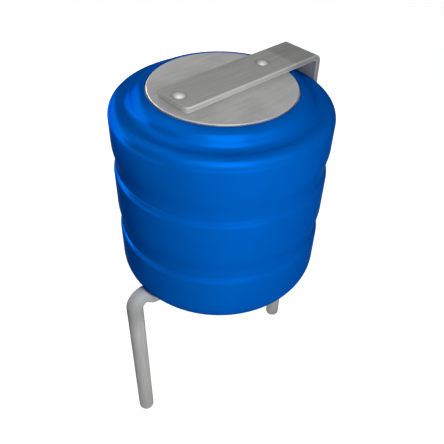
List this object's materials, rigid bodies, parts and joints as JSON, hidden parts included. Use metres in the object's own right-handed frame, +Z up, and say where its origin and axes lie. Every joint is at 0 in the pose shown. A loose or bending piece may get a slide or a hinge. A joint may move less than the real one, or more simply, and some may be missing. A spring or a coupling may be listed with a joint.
{
  "type": "supercapacitor",
  "caption": "Supercapacitor of stacked coin cells in a blue shrink sleeve, with flat strip terminals welded above and below that turn down into round pins for a circuit board.",
  "frame": {"origin": "on the stack's axis, on the underside of the bottom terminal strip, which sits on the board", "axes": "+Z up the stack, +X towards the top terminal's pin, -X towards the bottom terminal's pin"},
  "size_m": [0.0149, 0.0126, 0.0247],
  "materials": {
    "shrink_film": "glossy shrunk film",
    "tinned_wire": "satin tinned",
    "cap_steel": "satin rolled",
    "can_steel": "satin drawn",
    "link_nickel": "satin",
    "seal_plastic": "moulded",
    "electrode_carbon": "pressed",
    "separator_paper": "fibrous"
  },
  "bodies": {
    "root": {"sleeve": "shrink_film", "top_terminal": "tinned_wire", "bottom_terminal": "tinned_wire", "upper_link": "link_nickel", "lower_link": "link_nickel", "top_can": "can_steel", "top_gasket": "seal_plastic", "top_cap": "cap_steel", "top_lower_electrode": "electrode_carbon", "top_separator": "separator_paper", "top_upper_electrode": "electrode_carbon", "middle_can": "can_steel", "middle_gasket": "seal_plastic", "middle_cap": "cap_steel", "middle_lower_electrode": "electrode_carbon", "middle_separator": "separator_paper", "middle_upper_electrode": "electrode_carbon", "bottom_can": "can_steel", "bottom_gasket": "seal_plastic", "bottom_cap": "cap_steel", "bottom_lower_electrode": "electrode_carbon", "bottom_separator": "separator_paper", "bottom_upper_electrode": "electrode_carbon"}
  },
  "joints": []
}
